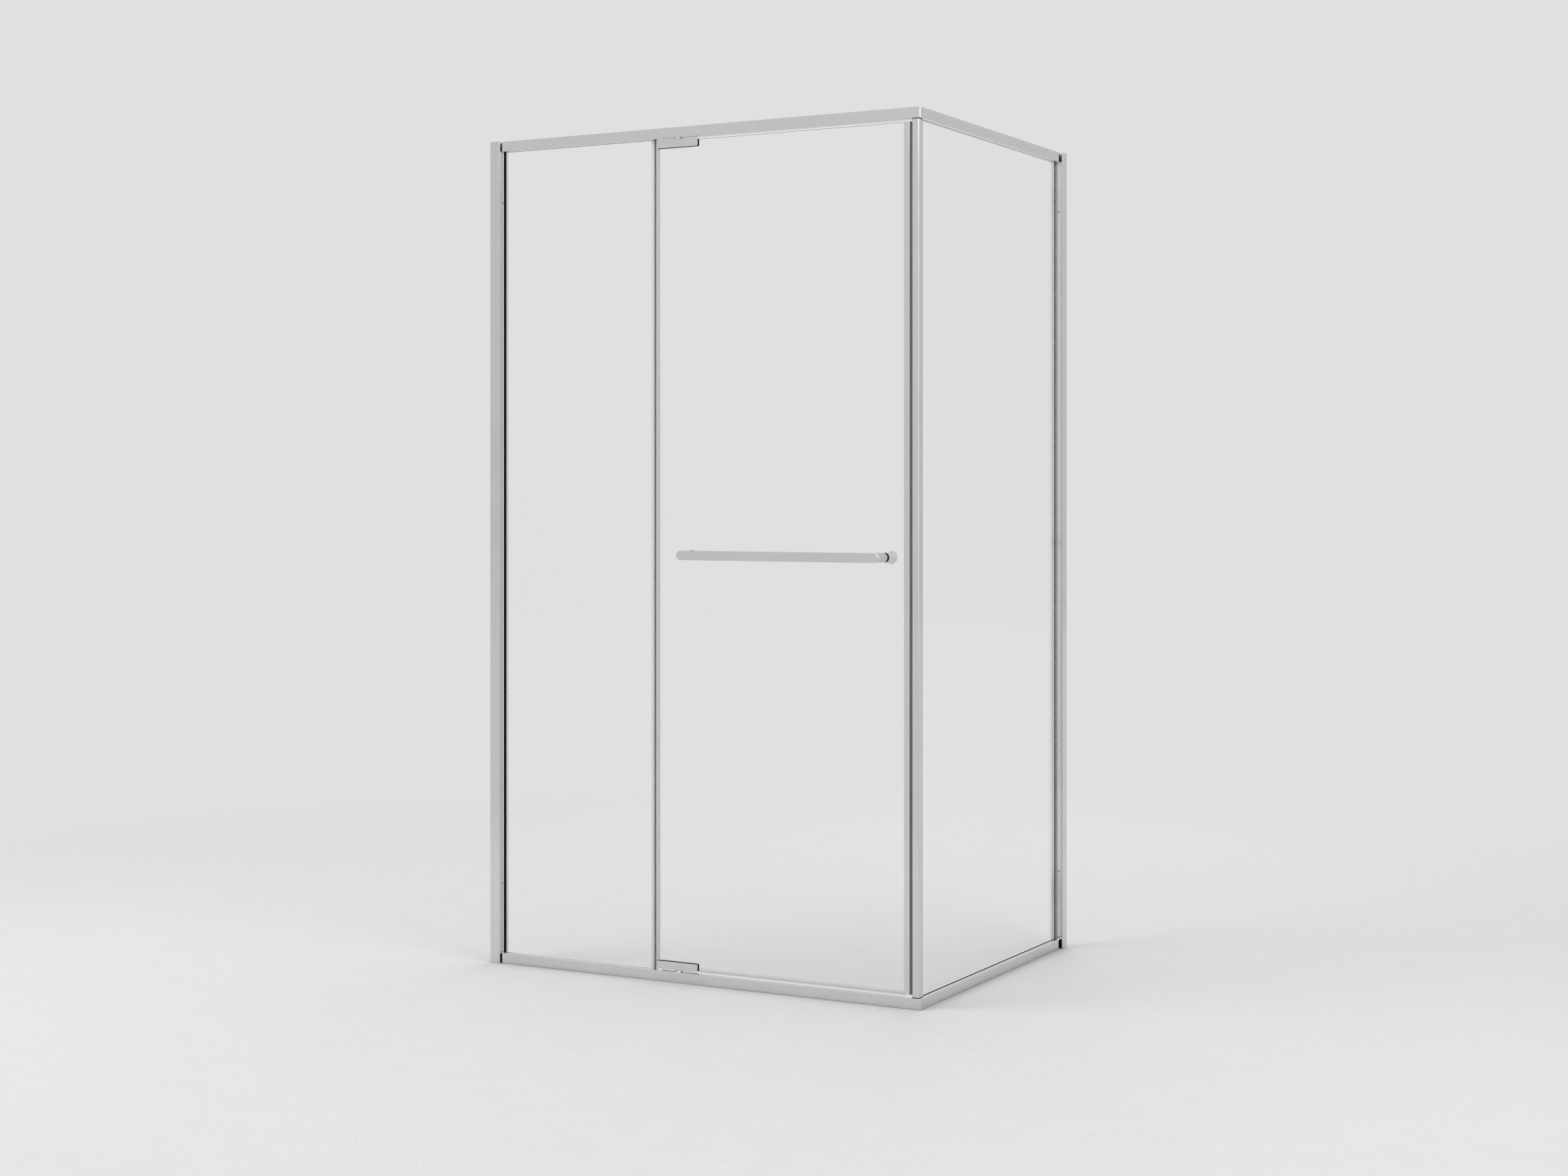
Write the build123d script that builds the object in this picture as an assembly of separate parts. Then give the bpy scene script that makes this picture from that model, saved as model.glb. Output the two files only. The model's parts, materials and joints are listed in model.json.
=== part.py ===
from build123d import *
import os

# Corner shower enclosure with a fixed front pane, a pivot door and a side pane.
# While it is modelled, x runs along the front from the left wall, y runs back from the outer
# face of the front rails, and z runs up from the underside of the sill.
# Sections are drawn once for the front, and the side panel is the same thing mirrored.

# Overall size
width = 1155            # left wall to the outer face of the side rails
depth = 850             # outer face of the front rails to the back wall
height = 2000

# Clearances
seat_gap = 0.3          # between pieces that are only pushed together
fit_gap = 0.1           # round a fixed screw, stud or bush
running_gap = 0.05      # round a turning pin
cut_overrun = 5         # how far a cutting shape runs past the face it opens

# Glass and its place across the frame
glass_thickness = 8
glass_front = 11        # outer face of the rails to the outer face of the glass
glass_cover = 8         # width of glass hidden in a frame member
glass_corner_round = 1

# Glazing gaskets
gasket_inner_leg = 1
gasket_base = 2
gasket_lip = 0.5        # how far a gasket stands out of its groove

# Head and sill rails, seen as the sill
rail_height = 25
rail_depth = 28
rail_round = 2
rail_wall = 2
rail_flange = 9         # in front of the glazing groove
rail_web = 2            # under the glazing groove
mitre_gap = 0.1         # each mitred end stands back this far
corner_round = 2.5      # upright outer edge of the corner
rail_tuck = 1.6         # how far a rail runs into the mouth of the wall channel

# Keys inside the rails
key_leg = 60
key_tongue = 40
end_key_start = 9       # from the wall
end_key_rise = 11       # width of the raised end under the jamb

# Infill strip in the groove of the rail along the door
infill_plate = 2
infill_leg = 1.2
infill_line_width = 1.6     # the shallow line behind the outer flange
infill_line_depth = 1.2

# Wall channels
channel_reach = 28      # from the wall to the lips
channel_outside = 6     # how far the outer leg stands in front of the rails
channel_inside = 2      # how far the inner leg stands behind them
channel_wall = 1.5
channel_round = 0.6
wall_hole_radius = 2.75
wall_hole_end = 100     # from an end of the channel to the first hole
wall_hole_spaces = 3    # equal spaces between the holes

# Jambs
jamb_back = 8           # from the wall
jamb_body_end = 31      # from the wall to where only the two flanges go on
jamb_lip = 0.5          # how far the glazing flanges stand out of the body
jamb_flange = 7         # in front of the glazing groove
jamb_slot = 1.5         # depth of the slot beside the outer flange
jamb_inner_flange_back = 24
jamb_wall = 2
jamb_chamber_depth = 9
jamb_core_front = 5     # the solid core between the two chambers
jamb_core_back = 17
jamb_port_x = 14        # axis of the screw port, from the wall
jamb_port_y = 11
jamb_screw_low = 195    # height of the lower fixing screw
jamb_screw_top = 150    # from the top down to the upper fixing screw
jamb_screw_y = 3
jamb_screw_head_radius = 2.3
jamb_screw_head = 2.5
jamb_screw_radius = 1.5

# Corner post
post_start = 7          # outer face, from the outer face of the side rails
post_width = 17
post_back = 28
post_flange = 2
post_round = 2.5
post_port_y = 12.5
post_pad = 1

# Screws that join the uprights to the keys
upright_screw_radius = 2
upright_screw_head_radius = 3.6
upright_screw_head = 3
upright_screw_reach = 45    # height of the tip

# Door opening, measured along the front from the outer face of the side rails
door_glass_edge = 685   # edge of the door's glass at its pivots
door_gap = 11           # from there to the edge of the fixed glass
pivot_inset = 53        # from there to the pivot axis
pivot_y = 15
door_bottom = 31        # the door ends as far below the top

# Seal on the free edge of the fixed glass
milky_leg = 7.2
milky_leg_thickness = 1.2
milky_web = 1.5
milky_bulb_radius = 3
milky_bulb_wall = 0.8

# Stile on the strike edge of the door
stile_start = 30
stile_width = 14
stile_front = 7
stile_back = 23
stile_round = 1.5
stile_groove = 9.5
stile_gasket_leg = 1.5
stile_gasket_base = 1.5

# Magnet strips
magnet_front = 9
magnet_back = 21
magnet_gap = 0.3

# Clear seals on the door
clear_leg_thickness = 1
edge_seal_leg = 5
edge_seal_web = 1.2
drip_leg = 6
drip_base = 1.2
drip_fin_thickness = 1
drip_fin_bottom = 26

# Hinges, seen as the lower one
hinge_overhang = 2      # how far the plates stand out past the edge of the door's glass
hinge_length = 111
hinge_bottom = 28
hinge_height = 18.5
hinge_plate = 2.5
hinge_round = 0.8
hinge_pad = 2.5
hinge_pad_end_lip = 2   # how far the outer pad stands out past the plate's end
hinge_pad_top_lip = 0.8
hinge_inner_inset = 5   # the inner plate is this much shorter at each end
notch_half = 40
notch_height = 12
notch_round = 3
lug_half = 37
lug_height = 14
hinge_screw_offset = 28
hinge_screw_z = 35.5
hinge_screw_radius = 2
hinge_screw_head_radius = 3.5
hinge_screw_head = 1.5
hinge_screw_tip = 9.5
pin_radius = 3
pin_bottom = 17
pin_top = 39
bush_radius = 5
bush_flange_radius = 10
bush_flange = 2.5
bush_floor = 1.7

# Handle
handle_z = 1000
handle_end = 11         # from a standoff's axis to the end of the bar
handle_height = 22
handle_thickness = 12
handle_front = -39
handle_round = 1
handle_left = 88.7      # left standoff's axis, from the edge of the door's glass
handle_right = 96.3     # right standoff's axis, from the outer face of the side rails
standoff_radius = 11
standoff_round = 0.8
handle_bush = 2
handle_hole_radius = 6
handle_sleeve_radius = 5.7
handle_bolt_radius = 3
handle_bolt_front = -34
knob_length = 31.5
knob_rim_radius = 17
knob_round = 1.5
knob_bolt_depth = 18
cap_radius = 9.5
cap_length = 6
cap_round = 2
cap_bolt_depth = 4

# Places that follow from the sizes above
glass_back = glass_front + glass_thickness
groove_front = rail_flange
groove_back = glass_back + gasket_inner_leg
groove_depth = glass_cover + gasket_base
groove_floor = rail_height - groove_depth
chamber_top = groove_floor - rail_web
rail_start = channel_reach - rail_tuck
channel_back = rail_depth + channel_inside
jamb_edge = jamb_body_end + jamb_lip
pane_start = jamb_edge - glass_cover
jamb_groove_floor = jamb_edge - groove_depth
pane_bottom = rail_height - glass_cover
door_top = height - door_bottom
jamb_screw_high = height - jamb_screw_top
wall_hole_reach = height - wall_hole_end - wall_hole_end
post_end = post_start + post_width
post_groove_front = post_back - groove_depth
post_pane_start = post_back - glass_cover
post_foot = rail_height + post_pad
post_axis_x = width - post_start - post_width / 2
fixed_glass_edge = door_glass_edge + door_gap
hinge_end = door_glass_edge + hinge_overhang
pivot_x = width - door_glass_edge + pivot_inset
stile_end = stile_start + stile_width
strip_width = (stile_start - post_end - magnet_gap) / 2
hinge_start = hinge_end - hinge_length
hinge_top = hinge_bottom + hinge_height
hinge_outer_front = glass_front - hinge_pad - hinge_plate
hinge_outer_back = glass_front - hinge_pad
hinge_inner_front = glass_back + hinge_pad
hinge_inner_back = hinge_inner_front + hinge_plate
key_front = rail_wall + seat_gap
key_back = rail_depth - rail_wall - seat_gap
key_top = chamber_top - seat_gap
handle_back = handle_front + handle_thickness
handle_axes = [width - door_glass_edge + handle_left, width - handle_right]
handle_length = handle_axes[1] - handle_axes[0] + handle_end + handle_end

bottom_up = (Align.CENTER, Align.CENTER, Align.MIN)
mid_height = Plane((0, 0, height / 2))
diagonal = Plane((0, 0, 0), z_dir=(1, 1, 0))
overall_width = width + channel_outside
overall_depth = depth - handle_front
to_origin = Pos(-overall_width / 2, -handle_front - overall_depth / 2, 0)


def block(x_start, x_end, y_start, y_end, z_start, z_end):
    """A box between two opposite corners."""
    size = Box(x_end - x_start, y_end - y_start, z_end - z_start)
    return Pos((x_start + x_end) / 2, (y_start + y_end) / 2, (z_start + z_end) / 2) * size


def upright_rod(x, y, z_start, z_end, radius):
    """A cylinder that stands on z_start."""
    return Pos(x, y, z_start) * Cylinder(radius, z_end - z_start, align=bottom_up)


def across(x, y, z):
    """A plane that faces the back wall, for shapes that run through the glass."""
    return Plane((x, y, z), x_dir=(1, 0, 0), z_dir=(0, 1, 0))


def cross_rod(x, y_start, y_end, z, radius):
    """A cylinder that runs from front to back."""
    return across(x, y_start, z) * Cylinder(radius, y_end - y_start, align=bottom_up)


def long_rod(x_start, x_end, y, z, radius):
    """A cylinder that runs along the front."""
    along = Plane((x_start, y, z), z_dir=(1, 0, 0))
    return along * Cylinder(radius, x_end - x_start, align=bottom_up)


def at_head(shape):
    """The same piece at the other end of the height."""
    return shape.mirror(mid_height)


def on_side(shape):
    """The same piece on the side panel, where x becomes the distance from the back wall."""
    return Pos(width, depth, 0) * shape.mirror(diagonal)


def wall_channel():
    """U-section on the wall, open towards the glass, with holes for the wall screws."""
    front = -channel_outside
    channel = block(0, channel_reach, front, channel_back, 0, height)
    channel = fillet(channel.edges().filter_by(Axis.Z), channel_round)
    channel -= block(
        channel_wall, channel_reach + cut_overrun,
        front + channel_wall, channel_back - channel_wall,
        -cut_overrun, height + cut_overrun,
    )
    for space in range(wall_hole_spaces + 1):
        channel -= long_rod(
            -cut_overrun, channel_wall + cut_overrun, (front + channel_back) / 2,
            wall_hole_end + wall_hole_reach * space / wall_hole_spaces, wall_hole_radius,
        )
    return channel


def jamb():
    """Section in the mouth of the wall channel, with two flanges that hold the glass."""
    front = -channel_outside + channel_wall + seat_gap
    back = channel_back - channel_wall - seat_gap
    low = rail_height
    high = height - rail_height
    body = block(jamb_back, jamb_body_end, front, back, low, high)
    body += block(jamb_body_end, jamb_edge, 0, jamb_flange, low, high)
    body += block(jamb_body_end, jamb_edge, groove_back, jamb_inner_flange_back, low, high)
    body -= block(
        jamb_groove_floor, jamb_edge + cut_overrun, jamb_flange, groove_back,
        low - cut_overrun, high + cut_overrun,
    )
    body -= block(
        jamb_body_end - jamb_slot, jamb_body_end + cut_overrun, front + jamb_wall, 0,
        low - cut_overrun, high + cut_overrun,
    )
    chambers = [(front + jamb_wall, jamb_core_front), (jamb_core_back, back - jamb_wall)]
    for chamber_front, chamber_back in chambers:
        body -= block(
            jamb_back + jamb_wall, jamb_back + jamb_wall + jamb_chamber_depth,
            chamber_front, chamber_back, low - cut_overrun, high + cut_overrun,
        )
    body -= upright_rod(
        jamb_port_x, jamb_port_y, low - cut_overrun, high + cut_overrun,
        upright_screw_radius + fit_gap,
    )
    for z in (jamb_screw_low, jamb_screw_high):
        body -= long_rod(
            0, jamb_edge + cut_overrun, jamb_screw_y, z, jamb_screw_radius + fit_gap
        )
        body -= long_rod(
            jamb_edge - jamb_screw_head, jamb_edge + cut_overrun,
            jamb_screw_y, z, jamb_screw_head_radius + fit_gap,
        )
    return body


def jamb_screws():
    """The two screws in the outer lip of a jamb."""
    screws = []
    for z in (jamb_screw_low, jamb_screw_high):
        screw = long_rod(
            jamb_edge - jamb_screw_head, jamb_edge, jamb_screw_y, z, jamb_screw_head_radius
        )
        screw += long_rod(
            jamb_back, jamb_edge - jamb_screw_head, jamb_screw_y, z, jamb_screw_radius
        )
        screws.append(screw)
    return screws


def sill_rail(run):
    """Hollow rail with a glazing groove, from a wall channel to the mitre at the corner."""
    start = rail_start - cut_overrun
    end = run + cut_overrun
    rail = block(rail_start, run, 0, rail_depth, 0, rail_height)
    rail = fillet(rail.edges().filter_by(Axis.X), rail_round)
    rail -= block(start, end, groove_front, groove_back, groove_floor, rail_height + cut_overrun)
    rail -= block(start, end, rail_wall, rail_depth - rail_wall, rail_wall, chamber_top)
    rail -= block(
        start, end, groove_back + rail_wall, rail_depth - rail_wall,
        rail_wall, rail_height - rail_wall,
    )
    # room for the raised middle of the corner key
    rail -= block(
        run - groove_back, end, groove_front, groove_back, rail_wall, rail_height
    )
    tip = run - mitre_gap + cut_overrun
    heel = run - mitre_gap - rail_depth - cut_overrun
    mitre = Polyline(
        (tip, -cut_overrun), (heel, rail_depth + cut_overrun),
        (tip, rail_depth + cut_overrun), close=True,
    )
    cutter = Pos(0, 0, -cut_overrun) * extrude(
        make_face(mitre), rail_height + cut_overrun + cut_overrun, dir=(0, 0, 1)
    )
    edge = block(
        run - corner_round, end, -cut_overrun, corner_round,
        -cut_overrun, rail_height + cut_overrun,
    )
    edge -= upright_rod(
        run - corner_round, corner_round, -cut_overrun, rail_height + cut_overrun, corner_round
    )
    return rail - cutter - edge


def bush_hole(wall):
    """The hole in rail and infill strip that takes the body of a pivot bush."""
    return upright_rod(
        pivot_x, pivot_y, groove_floor, rail_height + cut_overrun, bush_radius + wall
    )


def corner_key():
    """Angle inside the mitred rails, with a raised middle that carries the post."""
    front_leg = block(
        width - key_leg, width - key_front, key_front, key_back, key_front, key_top
    )
    side_leg = block(
        width - key_back, width - key_front, key_front, key_leg, key_front, key_top
    )
    raised = block(
        width - groove_back + seat_gap, width - groove_front - seat_gap,
        groove_front + seat_gap, groove_back - seat_gap, key_front, rail_height,
    )
    return front_leg + side_leg + raised - upright_screw_hole(post_axis_x, post_port_y)


def end_key():
    """Tongue in the wall end of a rail, with a raised end that carries the jamb."""
    tongue = block(
        end_key_start, channel_reach + key_tongue, key_front, key_back, key_front, key_top
    )
    raised = block(
        end_key_start, end_key_start + end_key_rise, key_front, key_back,
        key_front, rail_height,
    )
    return tongue + raised - upright_screw_hole(jamb_port_x, jamb_port_y)


def upright_screw(x, y):
    """Screw that stands in a key and holds the upright above it."""
    head = upright_rod(
        x, y, key_front, key_front + upright_screw_head, upright_screw_head_radius
    )
    return head + upright_rod(x, y, key_front, upright_screw_reach, upright_screw_radius)


def upright_screw_hole(x, y):
    """The room that such a screw takes in its key."""
    head = upright_rod(
        x, y, key_front - cut_overrun, key_front + upright_screw_head,
        upright_screw_head_radius + fit_gap,
    )
    shank = upright_rod(
        x, y, key_front, rail_height + cut_overrun, upright_screw_radius + fit_gap
    )
    return head + shank


def infill_strip():
    """Snap-in strip that closes the groove of the rail along the door."""
    start = width - fixed_glass_edge + seat_gap
    end = width - groove_back
    front = groove_front + fit_gap
    back = groove_back - fit_gap
    strip = block(start, end, front, back, groove_floor, rail_height)
    strip -= block(
        start - cut_overrun, end + cut_overrun, front + infill_leg, back - infill_leg,
        groove_floor - cut_overrun, rail_height - infill_plate,
    )
    strip -= block(
        start - cut_overrun, end + cut_overrun, front - cut_overrun, front + infill_line_width,
        rail_height - infill_line_depth, rail_height + cut_overrun,
    )
    return strip - bush_hole(fit_gap)


def post_outline(z_start, z_end, rounded):
    """The post's section between two heights: a bar with a groove for the side glass."""
    bar = block(width - post_end, width - post_start, post_start, post_back, z_start, z_end)
    if rounded:
        bar = fillet(bar.edges().filter_by(Axis.Z).group_by(Axis.Y)[0], post_round)
    bar -= block(
        width - post_end + post_flange, width - post_start - post_flange,
        post_groove_front, post_back + cut_overrun,
        z_start - cut_overrun, z_end + cut_overrun,
    )
    return bar - upright_rod(
        post_axis_x, post_port_y, z_start - cut_overrun, z_end + cut_overrun,
        upright_screw_radius + fit_gap,
    )


def corner_post():
    """Upright at the corner, between the pads of sill and head."""
    return post_outline(post_foot, height - post_foot, True)


def fixed_glass():
    """Pane between the left jamb and its free edge beside the door."""
    return block(
        pane_start, width - fixed_glass_edge, glass_front, glass_back,
        pane_bottom, height - pane_bottom,
    )


def side_glass():
    """Pane between the right jamb and the corner post, drawn as on the front."""
    return block(
        pane_start, depth - post_pane_start, glass_front, glass_back,
        pane_bottom, height - pane_bottom,
    )


def jamb_gasket(pane):
    """Gasket round the edge of a pane in a jamb."""
    room = block(
        jamb_groove_floor, jamb_edge + gasket_lip, jamb_flange, groove_back,
        rail_height, height - rail_height,
    )
    return room - pane


def sill_gasket(end, pane):
    """Gasket round the lower edge of a pane."""
    room = block(
        rail_start, end, groove_front, groove_back, groove_floor, rail_height
    )
    return room - pane


def post_gasket(pane):
    """Gasket round the edge of the side glass in the corner post, drawn as on the front."""
    room = block(
        depth - post_back - gasket_lip, depth - post_groove_front,
        post_start + post_flange, post_end - post_flange, post_foot, height - post_foot,
    )
    return room - pane


def milky_seal():
    """Seal on the free edge of the fixed glass: two legs, a web and a hollow bulb."""
    edge = width - fixed_glass_edge
    low = rail_height + seat_gap
    high = height - low
    seal = block(
        edge - milky_leg, edge + milky_web,
        glass_front - milky_leg_thickness, glass_back + milky_leg_thickness, low, high,
    )
    middle = (glass_front + glass_back) / 2
    bulb_x = edge + milky_web - milky_bulb_wall + milky_bulb_radius
    seal += upright_rod(bulb_x, middle, low, high, milky_bulb_radius)
    seal -= upright_rod(
        bulb_x, middle, low - cut_overrun, high + cut_overrun,
        milky_bulb_radius - milky_bulb_wall,
    )
    return seal - fixed_glass()


def magnet_strip(start):
    """One magnet strip of the closing edge, from this distance to the side rails' face."""
    return block(
        width - start - strip_width, width - start, magnet_front, magnet_back,
        door_bottom, door_top,
    )


def pivot_bush():
    """Flanged bush in the sill, closed at the bottom."""
    bush = upright_rod(pivot_x, pivot_y, groove_floor, rail_height, bush_radius)
    bush += upright_rod(
        pivot_x, pivot_y, rail_height, rail_height + bush_flange, bush_flange_radius
    )
    return bush - upright_rod(
        pivot_x, pivot_y, groove_floor + bush_floor, rail_height + bush_flange + cut_overrun,
        pin_radius + running_gap,
    )


def hinge_notch():
    """The notch in the door glass at a hinge."""
    notch = block(
        pivot_x - notch_half, pivot_x + notch_half,
        glass_front - cut_overrun, glass_back + cut_overrun,
        door_bottom - notch_height, door_bottom + notch_height,
    )
    return fillet(notch.edges().filter_by(Axis.Y), notch_round)


def door_glass():
    """Door pane with a notch for each hinge and a hole for each handle bolt."""
    pane = block(
        width - door_glass_edge, width - stile_end + stile_groove - stile_gasket_base,
        glass_front, glass_back, door_bottom, door_top,
    )
    pane = fillet(pane.edges().filter_by(Axis.Y), glass_corner_round)
    pane -= hinge_notch()
    pane -= at_head(hinge_notch())
    for x in handle_axes:
        pane -= cross_rod(
            x, glass_front - cut_overrun, glass_back + cut_overrun, handle_z,
            handle_hole_radius,
        )
    return pane


def door_stile():
    """Chrome section on the strike edge, with a groove for glass and gasket."""
    stile = block(
        width - stile_end, width - stile_start, stile_front, stile_back,
        door_bottom, door_top,
    )
    stile = fillet(stile.edges().filter_by(Axis.Z), stile_round)
    return stile - stile_groove_room(cut_overrun)


def stile_groove_room(past):
    """The groove in the stile, run past its ends and its mouth by this much."""
    return block(
        width - stile_end - past, width - stile_end + stile_groove,
        glass_front - stile_gasket_leg, glass_back + stile_gasket_leg,
        door_bottom - past, door_top + past,
    )


def edge_seal():
    """Clear seal on the pivot edge of the door, between the hinges."""
    edge = width - door_glass_edge
    low = hinge_top + hinge_pad_top_lip + seat_gap
    seal = block(
        edge - edge_seal_web, edge + edge_seal_leg,
        glass_front - clear_leg_thickness, glass_back + clear_leg_thickness,
        low, height - low,
    )
    return seal - block(
        edge, edge + edge_seal_leg + cut_overrun, glass_front, glass_back,
        low - cut_overrun, height,
    )


def drip_seal():
    """Clear seal under the door glass, between hinge and stile, with a fin to the sill."""
    start = width - hinge_start + hinge_pad_end_lip + seat_gap
    end = width - stile_end - seat_gap
    seal = block(
        start, end, glass_front - clear_leg_thickness, glass_back + clear_leg_thickness,
        door_bottom - drip_base, door_bottom + drip_leg,
    )
    seal += block(
        start, end, pivot_y - drip_fin_thickness / 2, pivot_y + drip_fin_thickness / 2,
        drip_fin_bottom, door_bottom - drip_base,
    )
    return seal - block(
        start - cut_overrun, end + cut_overrun, glass_front, glass_back,
        door_bottom, door_bottom + drip_leg + cut_overrun,
    )


def hinge_plate_blank(front, back, inset):
    """One plate of the lower hinge, with rounded edges and both ends set in."""
    plate = block(
        width - hinge_end + inset, width - hinge_start - inset,
        front, back, hinge_bottom, hinge_top,
    )
    return fillet(plate.edges(), hinge_round)


def hinge_screw_axes():
    """The places of the two clamp screws along the front."""
    return [pivot_x - hinge_screw_offset, pivot_x + hinge_screw_offset]


def hinge_outer_plate():
    """Outer plate with the lug that fills the notch and holds the pin and the screws."""
    plate = hinge_plate_blank(hinge_outer_front, hinge_outer_back, 0)
    plate += block(
        pivot_x - lug_half, pivot_x + lug_half,
        hinge_outer_back - hinge_round, hinge_inner_front - fit_gap,
        hinge_bottom + hinge_round, hinge_bottom + lug_height,
    )
    plate -= upright_rod(
        pivot_x, pivot_y, hinge_bottom - cut_overrun, pin_top + seat_gap,
        pin_radius + fit_gap,
    )
    for x in hinge_screw_axes():
        plate -= cross_rod(
            x, hinge_screw_tip - fit_gap, hinge_inner_back, hinge_screw_z,
            hinge_screw_radius + fit_gap,
        )
    return plate


def hinge_inner_plate():
    """Inner plate with sunk holes for the clamp screws."""
    plate = hinge_plate_blank(hinge_inner_front, hinge_inner_back, hinge_inner_inset)
    for x in hinge_screw_axes():
        plate -= cross_rod(
            x, hinge_inner_front - cut_overrun, hinge_inner_back + cut_overrun,
            hinge_screw_z, hinge_screw_radius + fit_gap,
        )
        plate -= cross_rod(
            x, hinge_inner_back - hinge_screw_head, hinge_inner_back + cut_overrun,
            hinge_screw_z, hinge_screw_head_radius + fit_gap,
        )
    return plate


def hinge_screws():
    """The two clamp screws of a hinge."""
    screws = []
    for x in hinge_screw_axes():
        head_front = hinge_inner_back - hinge_screw_head
        screw = cross_rod(
            x, head_front, hinge_inner_back, hinge_screw_z, hinge_screw_head_radius
        )
        screw += cross_rod(x, hinge_screw_tip, head_front, hinge_screw_z, hinge_screw_radius)
        screws.append(screw)
    return screws


def hinge_pads():
    """The gaskets between the plates and the glass."""
    outer = block(
        width - hinge_end, width - hinge_start + hinge_pad_end_lip,
        hinge_outer_back, glass_front, door_bottom, hinge_top + hinge_pad_top_lip,
    )
    inner = block(
        width - hinge_end + hinge_inner_inset, width - hinge_start - hinge_inner_inset,
        glass_back, hinge_inner_front, door_bottom, hinge_top,
    )
    return [outer - hinge_notch(), inner - hinge_notch()]


def pivot_pin():
    """Pin that stands out of the hinge into the bush."""
    return upright_rod(pivot_x, pivot_y, pin_bottom, pin_top, pin_radius)


def handle_bar():
    """Flat bar with full-round ends and a blind hole for each bolt."""
    middle = sum(handle_axes) / 2
    outline = across(middle, handle_front, handle_z) * SlotOverall(handle_length, handle_height)
    bar = extrude(outline, handle_thickness, dir=(0, 1, 0))
    bar = fillet(bar.edges().filter_by(Plane.XZ), handle_round)
    for x in handle_axes:
        bar -= cross_rod(
            x, handle_bolt_front - fit_gap, handle_back + cut_overrun, handle_z,
            handle_bolt_radius + fit_gap,
        )
    return bar


def bolt_bore(x):
    """A bore along the whole of a handle bolt."""
    return cross_rod(
        x, handle_bolt_front, glass_back + knob_length + cut_overrun, handle_z,
        handle_bolt_radius + fit_gap,
    )


def standoffs():
    """The two round standoffs between the bar and the glass."""
    shapes = []
    for x in handle_axes:
        rod = cross_rod(x, handle_back, glass_front - handle_bush, handle_z, standoff_radius)
        rod = fillet(rod.edges().group_by(Axis.Y)[-1], standoff_round)
        shapes.append(rod - bolt_bore(x))
    return shapes


def handle_bushes():
    """The black bushes on both faces of the glass; the outer ones line the holes."""
    bushes = []
    for x in handle_axes:
        outer = cross_rod(x, glass_front - handle_bush, glass_front, handle_z, standoff_radius)
        outer += cross_rod(x, glass_front, glass_back, handle_z, handle_sleeve_radius)
        inner = cross_rod(x, glass_back, glass_back + handle_bush, handle_z, standoff_radius)
        bushes += [outer - bolt_bore(x), inner - bolt_bore(x)]
    return bushes


def inner_knob():
    """Conical knob inside the cabin, wider at its free end."""
    x = handle_axes[1]
    front = glass_back + handle_bush
    knob = across(x, front, handle_z) * Cone(
        standoff_radius, knob_rim_radius, knob_length, align=bottom_up
    )
    knob = fillet(knob.edges().group_by(Axis.Y)[-1], knob_round)
    knob = fillet(knob.edges().group_by(Axis.Y)[0], standoff_round)
    return knob - cross_rod(
        x, front - cut_overrun, front + knob_bolt_depth + fit_gap, handle_z,
        handle_bolt_radius + fit_gap,
    )


def inner_cap():
    """Low cap inside the cabin on the other bolt."""
    x = handle_axes[0]
    front = glass_back + handle_bush
    cap = cross_rod(x, front, front + cap_length, handle_z, cap_radius)
    cap = fillet(cap.edges().group_by(Axis.Y)[-1], cap_round)
    return cap - cross_rod(
        x, front - cut_overrun, front + cap_bolt_depth + fit_gap, handle_z,
        handle_bolt_radius + fit_gap,
    )


def handle_bolts():
    """Studs that run from the bar through the glass into cap and knob."""
    depths = [cap_bolt_depth, knob_bolt_depth]
    front = glass_back + handle_bush
    return [
        cross_rod(x, handle_bolt_front, front + reach, handle_z, handle_bolt_radius)
        for x, reach in zip(handle_axes, depths)
    ]


def both_ends(shapes):
    """The pieces at the sill and the same pieces at the head."""
    return shapes + [at_head(shape) for shape in shapes]


sill_front = sill_rail(width) - bush_hole(fit_gap)
sill_side = on_side(sill_rail(depth))
side_pane = side_glass()
front_pane = fixed_glass()
gasket_end = width - fixed_glass_edge
side_gasket_end = depth - post_back - gasket_lip
front_sill_gasket = sill_gasket(gasket_end, front_pane)
side_sill_gasket = on_side(sill_gasket(side_gasket_end, side_pane))
jamb_screw_left = jamb_screws()
end_key_front = end_key()
jamb_upright_screw = upright_screw(jamb_port_x, jamb_port_y)
post_screw = upright_screw(post_axis_x, post_port_y)

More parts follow.
